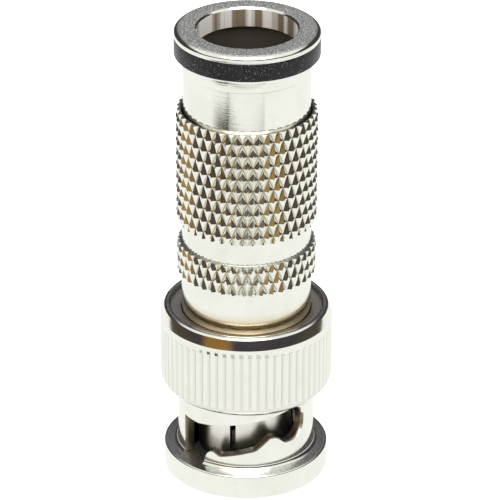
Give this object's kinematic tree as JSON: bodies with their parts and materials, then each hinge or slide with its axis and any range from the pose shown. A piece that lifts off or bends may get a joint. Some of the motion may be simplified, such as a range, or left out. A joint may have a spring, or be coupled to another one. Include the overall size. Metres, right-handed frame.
{
  "type": "compression bayonet coaxial plug",
  "caption": "Nickel-plated bayonet coaxial plug with a knurled body, a turning slotted coupling nut and a compression sleeve that clamps the cable.",
  "frame": {"origin": "centre of the mating face, at the bottom of the plug", "axes": "+Z runs along the plug from the mating face to the cable end; -Y is the side whose slot shows to the front"},
  "size_m": [0.0144, 0.0144, 0.0402],
  "materials": {
    "nickel": "bright nickel plate on turned brass, slightly warm, with fine turning lines",
    "spring_steel": "plain spring steel",
    "gold_plate": "gold plate",
    "insulator_white": "turned white fluoropolymer, waxy",
    "insulator_cream": "natural acetal",
    "silicone": "soft silicone",
    "black_rubber": "black rubber",
    "black_band": "satin black plastic"
  },
  "bodies": {
    "plug_body": {"contact_body": "nickel", "front_insulator": "insulator_white", "centre_pin": "gold_plate", "guide_bush": "insulator_cream", "cable_post": "nickel", "knurled_body": "nickel", "grip_ring": "insulator_cream", "front_gasket": "silicone", "wave_washer": "spring_steel"},
    "washer_carrier": {"retaining_washer": "spring_steel"},
    "nut": {"coupling_nut": "nickel"},
    "sleeve": {"compression_sleeve": "nickel", "sleeve_o_ring": "black_rubber", "colour_band": "black_band"}
  },
  "joints": [
    {"name": "nut_travel", "type": "slide", "parent": "plug_body", "child": "washer_carrier", "axis": [0, 0, -1], "range_m": [0, 0.0008], "stiffness_N_per_m": 5000, "springref_m": -0.0006, "deforming": ["wave_washer"]},
    {"name": "nut_turn", "type": "hinge", "parent": "washer_carrier", "child": "nut", "pos_m": [0, 0, 0.0146], "axis": [0, 0, 1], "continuous": true},
    {"name": "sleeve_press", "type": "slide", "parent": "plug_body", "child": "sleeve", "axis": [0, 0, -1], "range_m": [0, 0.00415]}
  ]
}
